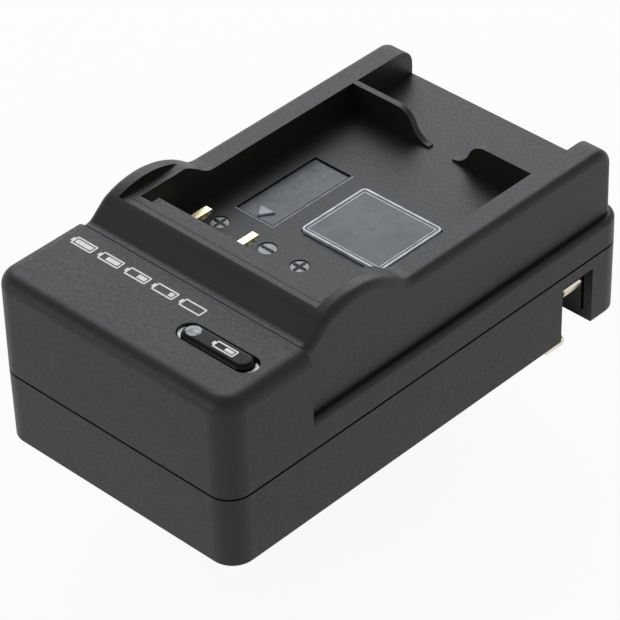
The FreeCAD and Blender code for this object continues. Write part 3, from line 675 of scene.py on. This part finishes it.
@dataclass
class PocketMarks:
    """Sunk polarity marks, and the sunk panel with its arrow, on the pocket floor.

    Attributes:
        label: Box of the label insert, which gives the floor its place.
        contacts: Boxes of the plus and the minus contact.
        proud: How far the insert stands above the floor.
        depth: Depth of the sunk marks.
        disc_offset: Distance of the round marks in front of the insert.
        contact_offsets: How far the plus and the minus mark are to the right of their contacts.
        spare_offset: Distance from the minus mark to the spare plus mark.
        disc_radius: Radius of a round mark.
        arm: Width of a sign's arms.
        panel_size: Width and length of the sunk panel.
        panel_gap: Distance from the panel's right edge to the insert.
        panel_lead: How far the panel starts in front of the insert.
        arrow_lead: How far the arrow's middle is behind the panel's front.
        arrow_size: Width and length of the arrow.
        edge_line: Width of the line of painted highlight along the panel's right and front edges.
        edge_shade: Width of the line of painted shade inside it.
        shade_drop: How far the painted shade line lies below the pocket floor.
        clearance: Room around a piece in its recess.
        sign_margin: Distance of a sign's ends from the recess wall.
        disc_share: Height of a disc as a share of the depth.
        sign_share: Height of a sign as a share of the depth.
        panel_round: Radius of the panel's corners.
        panel_thickness: Thickness of the panel's polished floor.
        arrow_edge: Rounding of the arrow.
        arrow_facets: Facets across the arrow's rounding.
        disc_facets: Facets around a disc.
    """

    label: Extent
    contacts: tuple[Extent, Extent]
    proud: float = 0.35
    depth: float = 0.35
    disc_offset: float = 6.05
    contact_offsets: tuple[float, float] = (1.4, 1.6)
    spare_offset: float = 6.25
    disc_radius: float = 1.45
    arm: float = 0.42
    panel_size: tuple[float, float] = (7.4, 16.6)
    panel_gap: float = 3.575
    panel_lead: float = 1.95
    arrow_lead: float = 2.1
    arrow_size: tuple[float, float] = (2.9, 2.15)
    edge_line: float = 0.2
    edge_shade: float = 0.28
    shade_drop: float = 0.05
    clearance: float = 0.1
    sign_margin: float = 0.3
    disc_share: float = 0.5
    sign_share: float = 0.8
    panel_round: float = 0.3
    panel_thickness: float = 0.06
    arrow_edge: float = 0.12
    arrow_facets: int = 2
    disc_facets: int = 48

    def build(self) -> None:
        """Build every mark."""
        plus, minus = (
            box.middle.x + offset for box, offset in zip(self.contacts, self.contact_offsets)
        )
        signs = ((plus, Sign.PLUS), (minus, Sign.MINUS), (minus + self.spare_offset, Sign.PLUS))
        for number, (x, sign) in enumerate(signs, 1):
            self.build_disc(f"mark_floor_{number}", x)
            self.build_sign(f"mark_sign_{number}", x, sign)
        self.build_panel()
        self.build_arrow()

    @property
    def floor_z(self) -> float:
        """Height of the pocket floor."""
        return self.label.high.z - self.proud

    @property
    def panel_corner(self) -> tuple[float, float]:
        """Right front corner of the sunk panel."""
        return self.label.low.x - self.panel_gap, self.label.low.y - self.panel_lead

    def build_disc(self, name: str, x: float) -> None:
        """Polished disc at the bottom of a round mark, painted pale grey as its reflection.

        Args:
            name: Name of the piece.
            x: Place along X.
        """
        mesh = bmesh.new()
        radius = self.disc_radius - self.clearance
        bmesh.ops.create_circle(mesh, cap_ends=True, segments=self.disc_facets, radius=radius * MM)
        raise_faces(mesh, self.depth * self.disc_share)
        stand(mesh, (x, self.label.low.y - self.disc_offset, self.floor_z - self.depth))
        make_piece(mesh, name, DISC_REFLECTION_PAINT)

    def build_sign(self, name: str, x: float, sign: Sign) -> None:
        """Dark sign that divides the sunk disc.

        Args:
            name: Name of the piece.
            x: Place along X.
            sign: Which sign it is.
        """
        reach = self.disc_radius - self.sign_margin
        half = self.arm / 2
        height = self.depth * self.sign_share
        if sign is Sign.PLUS:
            mesh = cross(reach, self.arm, height)
        else:
            mesh = block((-reach, -half), (reach, half), height)
        stand(mesh, (x, self.label.low.y - self.disc_offset, self.floor_z - self.depth))
        make_piece(mesh, name, GLOSS_ABS)

    def build_panel(self) -> None:
        """Polished floor of the sunk panel, and a line of painted highlight and a line of painted shade
        along two of its edges.
        """
        right, front = self.panel_corner
        width, length = self.panel_size
        mesh = tile(width - self.clearance, length - self.clearance, self.panel_round)
        raise_faces(mesh, self.panel_thickness)
        stand(mesh, (right - width / 2, front + length / 2, self.floor_z - self.depth))
        make_piece(mesh, "panel_floor", PANEL_ABS)
        # Pale line outside the panel's edge: a painted highlight on the rim.
        outside = self.build_edge((0.0, self.edge_line), self.floor_z)
        make_piece(outside, "panel_rim_highlight", PAINTED_DIM_HIGHLIGHT)
        # Dark line inside the panel's edge: painted shade of the groove along the edge.
        inside = self.build_edge((-self.edge_shade, 0.0), self.floor_z - self.shade_drop)
        make_piece(inside, "panel_edge_shade", GLOSS_ABS)

    def build_edge(self, reach: tuple[float, float], z: float) -> bmesh.types.BMesh:
        """One fine line along the panel's front and right edges, for the painted highlight and the painted
        shade.

        Args:
            reach: Where the line starts and ends, outward from the panel's edge.
            z: Height of its underside.

        Returns:
            The line in its place.
        """
        start, end = reach
        width, length = self.panel_size
        mesh = slab([
            (-width, -end), (end, -end), (end, length), (start, length), (start, -start), (-width, -start),
        ], LINE_MM)
        stand(mesh, (*self.panel_corner, z))
        return mesh

    def build_arrow(self) -> None:
        """Raised triangle that points at the contacts, painted pale as the reflection on its polish."""
        mesh = bmesh.new()
        bmesh.ops.create_circle(mesh, cap_ends=True, segments=3, radius=MM)
        low = min(vert.co.y for vert in mesh.verts)
        high = max(vert.co.y for vert in mesh.verts)
        wide = max(vert.co.x for vert in mesh.verts) - min(vert.co.x for vert in mesh.verts)
        bmesh.ops.scale(
            mesh, verts=mesh.verts[:],
            vec=(self.arrow_size[0] * MM / wide, -self.arrow_size[1] * MM / (high - low), 1),
        )
        bevel(mesh, raise_faces(mesh, self.depth), self.arrow_edge, self.arrow_facets)
        right, front = self.panel_corner
        spot = (right - self.panel_size[0] / 2, front + self.arrow_lead, self.floor_z - self.depth)
        stand(mesh, spot)
        make_piece(mesh, "insertion_arrow", ARROW)


@dataclass
class LedgeLine:
    """Fine groove along the ledge behind the sloped face, drawn as a thin line of painted shade.

    Attributes:
        plate: Box of the cradle plate.
        drop: How far the ledge is below the plate's ears.
        lead: Distance of the line from the plate's front.
        half: Half length of the front run.
        legs: Length of the runs beside the pocket.
        stroke: Width of the line.
    """

    plate: Extent
    drop: float = 1.374
    lead: float = 6.3
    half: float = 18.35
    legs: float = 8.5
    stroke: float = 0.16

    def build(self) -> None:
        """Build the line as one thin slab around three sides."""
        outer, inner = self.half, self.half - self.stroke
        mesh = slab([
            (-outer, 0), (outer, 0), (outer, self.legs), (inner, self.legs), (inner, self.stroke),
            (-inner, self.stroke), (-inner, self.legs), (-outer, self.legs),
        ], INK_MM)
        stand(mesh, (self.plate.middle.x, self.plate.low.y + self.lead, self.plate.high.z - self.drop))
        make_piece(mesh, "painted_ledge_shade", RECESS_SHADE_PAINT)


@dataclass
class ConsolePrint:
    """Printed row of generic cell symbols on the console, from empty to full.

    Attributes:
        console: Box of the upper shell.
        lead: Distance of the row from the console's front.
        start: Distance of the row's left end from the shell's left side.
        cells: How many symbols the row has.
        pitch: Distance between symbols.
        symbol: The symbol.
        turn: Turn of a symbol, so that the row reads from the rear.
    """

    console: Extent
    lead: float = 13.05
    start: float = 3.4
    cells: int = 5
    pitch: float = 5.35
    symbol: CellSymbol = CellSymbol(4.1, 1.75, 0.26)
    turn: float = 180.0

    def build(self) -> None:
        """Print the row, which reads from the rear."""
        for number in range(self.cells):
            mesh = self.symbol.build(1 - number / (self.cells - 1))
            x = self.console.low.x + self.start + self.symbol.length / 2 + number * self.pitch
            stand(mesh, (x, self.console.low.y + self.lead, self.console.high.z), self.turn)
            make_piece(mesh, f"printed_cell_{number + 1}", INK)


@dataclass
class Indicator:
    """The gloss bar in the console's slot with its lamp lens and the light around it.

    Attributes:
        bar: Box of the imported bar.
        lens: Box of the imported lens.
        edge: Width of the bar's rounded edge.
        dome_share: Height of the lens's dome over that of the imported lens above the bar.
        ends: How far the milky guide shows beyond each end of the bar.
        guide_drop: How far the guide stays below the bar's top.
        guide_step: How much narrower the guide is than the bar.
        symbol: The printed symbol.
        symbol_fill: Share of the symbol that is filled.
        symbol_offset: Distance of the symbol from the lens.
        symbol_turn: Turn of the symbol.
        edge_facets: Facets across the bar's rounded edge.
        outline_facets: Facets around the bar.
        lens_facets: Facets around and along the lens's dome.
    """

    bar: Extent
    lens: Extent
    edge: float = 0.85
    dome_share: float = 0.4
    ends: float = 0.78
    guide_drop: float = 1.0
    guide_step: float = 0.7
    symbol: CellSymbol = CellSymbol(3.9, 1.45, 0.24)
    symbol_fill: float = 0.5
    symbol_offset: float = 6.0
    symbol_turn: float = 180.0
    edge_facets: int = 8
    outline_facets: int = 56
    lens_facets: tuple[int, int] = (48, 24)

    def build(self) -> None:
        """Build the bar, the milky ends, the lens and the printed symbol."""
        size = self.bar.span
        mesh = self.stadium(size.x, size.y)
        bevel(mesh, raise_faces(mesh, size.z), self.edge, self.edge_facets)
        self.place(mesh, self.bar.low.z)
        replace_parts(make_piece(mesh, "gloss_indicator_bar", GLOSS_ABS), "indicator_bar")
        mesh = self.stadium(size.x + self.ends * 2, size.y - self.guide_step)
        raise_faces(mesh, size.z - self.guide_drop)
        self.place(mesh, self.bar.low.z)
        make_piece(mesh, "milky_guide_ends", MILKY_PC)
        self.build_lens()
        mesh = self.symbol.build(self.symbol_fill)
        spot = (self.lens.middle.x + self.symbol_offset, self.bar.middle.y, self.bar.high.z)
        stand(mesh, spot, self.symbol_turn)
        make_piece(mesh, "bar_symbol", INK)

    def stadium(self, length: float, width: float) -> bmesh.types.BMesh:
        """Flat outline with half-round ends, from a circle pulled apart.

        Args:
            length: Size along X.
            width: Size along Y.

        Returns:
            One face about the origin.
        """
        mesh = bmesh.new()
        bmesh.ops.create_circle(mesh, cap_ends=True, segments=self.outline_facets, radius=width / 2 * MM)
        half_step = Matrix.Rotation(math.pi / self.outline_facets, 4, "Z")
        bmesh.ops.transform(mesh, matrix=half_step, verts=mesh.verts[:])
        shift = (length - width) / 2 * MM
        for side in (-1, 1):
            ends = [vert for vert in mesh.verts if vert.co.x * side > 0]
            bmesh.ops.translate(mesh, verts=ends, vec=(side * shift, 0, 0))
        return mesh

    def place(self, mesh: bmesh.types.BMesh, z: float) -> None:
        """Move a mesh to the middle of the slot."""
        stand(mesh, (self.bar.middle.x, self.bar.middle.y, z))

    def build_lens(self) -> None:
        """Low dome of the lamp, cut from a sphere, on its stem."""
        radius = self.lens.span.x / 2
        rise = (self.lens.high.z - self.bar.high.z) * self.dome_share
        mesh = bmesh.new()
        around, along = self.lens_facets
        bmesh.ops.create_uvsphere(mesh, u_segments=around, v_segments=along, radius=radius * MM)
        bmesh.ops.bisect_plane(
            mesh, geom=mesh.verts[:] + mesh.edges[:] + mesh.faces[:], plane_co=(0, 0, 0),
            plane_no=(0, 0, 1), clear_inner=True,
        )
        bmesh.ops.scale(mesh, verts=mesh.verts[:], vec=(1, 1, rise / radius))
        open_rim = [edge for edge in mesh.edges if edge.is_boundary]
        made = bmesh.ops.extrude_edge_only(mesh, edges=open_rim)
        lowered = [item for item in made["geom"] if isinstance(item, bmesh.types.BMVert)]
        bmesh.ops.translate(mesh, verts=lowered, vec=(0, 0, -self.bar.span.z * MM))
        bmesh.ops.holes_fill(mesh, edges=[edge for edge in mesh.edges if edge.is_boundary], sides=0)
        bmesh.ops.recalc_face_normals(mesh, faces=mesh.faces[:])
        for face in mesh.faces:
            face.smooth = True
        stand(mesh, (self.lens.middle.x, self.lens.middle.y, self.bar.high.z))
        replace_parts(make_piece(mesh, "lamp_lens_dome", CLEAR_EPOXY), "led_lens")


@dataclass
class ScrewDrives:
    """Cross recesses in the screw heads on the underside, drawn as crosses of painted shade.

    Attributes:
        screws: Box around all the screws.
        head_radius: Radius of a head.
        reach: Half length of a cross.
        arm: Width of a cross arm.
        thickness: Thickness of a cross.
        sink: How far a cross lies below the head's face.
        turn_step: How much further each cross is turned.
    """

    screws: Extent
    head_radius: float = 2.0
    reach: float = 1.25
    arm: float = 0.56
    thickness: float = 0.05
    sink: float = 0.02
    turn_step: float = 20.0

    def build(self) -> None:
        """Build a cross of painted shade on each head, each turned a little further."""
        inset = Vector((self.head_radius, self.head_radius, 0))
        low = self.screws.low + inset
        high = self.screws.high - inset
        spots = [(x, y) for x in (low.x, high.x) for y in (low.y, high.y)]
        for number, spot in enumerate(spots, 1):
            mesh = cross(self.reach, self.arm, self.thickness)
            stand(mesh, (*spot, low.z - self.sink), self.turn_step * number)
            make_piece(mesh, f"painted_drive_shade_{number}", RECESS_SHADE_PAINT)


@dataclass(frozen=True)
class Lamp:
    """Square soft lamp that looks at the object.

    Attributes:
        name: Name of the lamp.
        spot: Where it hangs, in metres.
        side: Side of the square, in metres.
        watts: Power.
        tint: Colour of its light.
    """

    name: str
    spot: tuple[float, float, float]
    side: float
    watts: float
    tint: str

    def build(self) -> None:
        """Hang the lamp and turn it to the object."""
        data = bpy.data.lights.new(self.name, "AREA")
        data.shape = "SQUARE"
        data.size = self.side
        data.energy = self.watts
        data.color = linear(self.tint)[:3]
        lamp = bpy.data.objects.new(self.name, data)
        lamp.location = self.spot
        lamp.rotation_euler = (-Vector(self.spot)).to_track_quat("-Z", "Y").to_euler()
        bpy.context.scene.collection.objects.link(lamp)
        LOG.info("lamp %s", self.name)


@dataclass
class Studio:
    """Floor, light and camera.

    Attributes:
        floor_z: Height of the floor, below the plug when it is swung out.
        floor_size: Width of the floor, in metres.
        floor_glow: Share of plain white in the floor where it is seen directly.
        fill: Strength of the light from all around.
        overhead: Strength of the surroundings high up, as reflections show them.
        horizon: Heights of a direction between which the surroundings get dimmer.
        target: Point that the camera looks at, in millimetres.
        distance: Distance of the camera from that point, in millimetres.
        azimuth: Bearing of the camera.
        elevation: Angle of the camera above the horizon.
        roll: Roll of the camera.
        lens: Focal length.
        sensor: Width of the camera's sensor.
        nearest: Nearest distance that the camera sees, in metres.
        lamps: Soft lamps.
    """

    floor_z: float = -19.5
    floor_size: float = 6.0
    floor_glow: float = 0.92
    fill: float = 0.5
    overhead: float = 0.6
    horizon: tuple[float, float] = (0.15, 0.6)
    target: tuple[float, float, float] = (5.175, -6.822, 16.576)
    distance: float = 503.13
    azimuth: float = 44.725
    elevation: float = 37.506
    roll: float = -1.798
    lens: float = 207.28
    sensor: float = 36.0
    nearest: float = 0.01
    lamps: tuple[Lamp, ...] = (
        Lamp("back_softbox", (-0.56, 0.56, 0.62), 0.85, 4.9, "#f1f7ff"),
        Lamp("front_softbox", (-0.35, -0.9, 0.35), 0.5, 1.2, "#fffaf0"),
    )

    def build(self) -> None:
        """Build the floor, the world, the lamps and the camera."""
        self.build_floor()
        self.build_world()
        for lamp in self.lamps:
            lamp.build()
        self.build_camera()

    def build_floor(self) -> None:
        """Plain white floor that keeps a faint shadow."""
        mesh = bmesh.new()
        bmesh.ops.create_grid(mesh, x_segments=1, y_segments=1, size=self.floor_size / 2)
        stand(mesh, (0, 0, self.floor_z))
        data = bpy.data.meshes.new("studio_floor")
        mesh.to_mesh(data)
        mesh.free()
        floor = bpy.data.objects.new("studio_floor", data)
        bpy.context.scene.collection.objects.link(floor)
        paint = bpy.data.materials.new("white_floor_paint")
        paint.use_nodes = True
        tree = paint.node_tree
        tree.nodes.clear()
        matt = add_node(tree, "ShaderNodeBsdfDiffuse", values={"Color": linear("#f4f4f2")})
        glow = add_node(tree, "ShaderNodeEmission", values={"Strength": 1.0})
        share = add_node(
            tree, "ShaderNodeMath", {"operation": "MULTIPLY"}, {1: self.floor_glow},
            {0: seen_directly(tree)},
        )
        mixed = add_node(
            tree, "ShaderNodeMixShader", links={0: share.outputs[0], 1: matt.outputs[0], 2: glow.outputs[0]}
        )
        # The floor is clear from below, so that the underside can be looked at.
        side = add_node(tree, "ShaderNodeNewGeometry").outputs["Backfacing"]
        clear = add_node(tree, "ShaderNodeBsdfTransparent")
        whole = add_node(
            tree, "ShaderNodeMixShader", links={0: side, 1: mixed.outputs[0], 2: clear.outputs[0]}
        )
        add_node(tree, "ShaderNodeOutputMaterial", links={"Surface": whole.outputs[0]})
        data.materials.append(paint)

    def build_world(self) -> None:
        """White surroundings, dimmer overhead, at a plain level for the object's light."""
        world = bpy.data.worlds.new("light_tent")
        bpy.context.scene.world = world
        world.use_nodes = True
        tree = world.node_tree
        tree.nodes.clear()
        soft = add_node(
            tree, "ShaderNodeBackground", values={"Color": linear("#ffffff"), "Strength": self.fill}
        )
        direction = add_node(tree, "ShaderNodeTexCoord").outputs["Generated"]
        split = add_node(tree, "ShaderNodeSeparateXYZ", links={0: direction})
        shade = add_node(
            tree, "ShaderNodeMapRange",
            values={
                "From Min": self.horizon[0],
                "From Max": self.horizon[1],
                "To Min": 1.0,
                "To Max": self.overhead,
            },
            links={"Value": split.outputs["Z"]},
        )
        path = add_node(tree, "ShaderNodeLightPath")
        level = add_node(
            tree, "ShaderNodeMath", {"operation": "MAXIMUM"},
            links={0: shade.outputs["Result"], 1: path.outputs["Is Camera Ray"]},
        )
        white = add_node(
            tree, "ShaderNodeBackground", values={"Color": linear("#ffffff")},
            links={"Strength": level.outputs[0]},
        )
        mixed = add_node(
            tree, "ShaderNodeMixShader",
            links={0: seen_directly(tree), 1: soft.outputs[0], 2: white.outputs[0]},
        )
        add_node(tree, "ShaderNodeOutputWorld", links={"Surface": mixed.outputs[0]})

    def build_camera(self) -> None:
        """Camera at the photograph's viewing angle."""
        turn = math.radians(self.azimuth)
        rise = math.radians(self.elevation)
        roll = math.radians(self.roll)
        back = Vector((math.sin(turn) * math.cos(rise), -math.cos(turn) * math.cos(rise), math.sin(rise)))
        level = Vector((math.cos(turn), math.sin(turn), 0))
        above = back.cross(level)
        right = level * math.cos(roll) + above * math.sin(roll)
        up = above * math.cos(roll) - level * math.sin(roll)
        spot = (Vector(self.target) + back * self.distance) * MM
        data = bpy.data.cameras.new("photo_camera")
        data.sensor_width = self.sensor
        data.lens = self.lens
        data.clip_start = self.nearest
        camera = bpy.data.objects.new("photo_camera", data)
        axes = Matrix((right, up, back)).transposed()
        camera.matrix_world = Matrix.Translation(spot) @ axes.to_4x4()
        bpy.context.scene.collection.objects.link(camera)
        bpy.context.scene.camera = camera


def seen_directly(tree: bpy.types.NodeTree) -> bpy.types.NodeSocket:
    """One where a ray comes from the camera, a reflection or a clear piece, and else zero.

    Args:
        tree: Node tree that gets the nodes.

    Returns:
        The socket with that value.
    """
    path = add_node(tree, "ShaderNodeLightPath")
    first = add_node(
        tree, "ShaderNodeMath", {"operation": "MAXIMUM"},
        links={0: path.outputs["Is Camera Ray"], 1: path.outputs["Is Glossy Ray"]},
    )
    both = add_node(
        tree, "ShaderNodeMath", {"operation": "MAXIMUM"},
        links={0: first.outputs[0], 1: path.outputs["Is Transmission Ray"]},
    )
    return both.outputs[0]


def main() -> None:
    """Dress the solids and build every piece in order."""
    logging.basicConfig(level=logging.INFO)
    bpy.context.scene.view_settings.view_transform = "Standard"
    label = Extent.of("label_insert")
    contacts = (Extent.of("contact_plus"), Extent.of("contact_minus"))
    Solids(frame["nodes"]).build()
    SeamGap(Extent.of("top_case")).build()
    LabelInsert(label).build()
    PocketMarks(label, contacts).build()
    LedgeLine(Extent.of("battery_plate")).build()
    ConsolePrint(Extent.of("top_case")).build()
    Indicator(Extent.of("indicator_bar"), Extent.of("led_lens")).build()
    ScrewDrives(Extent.of("case_screws")).build()
    Studio().build()


if __name__ == "__main__":
    main()
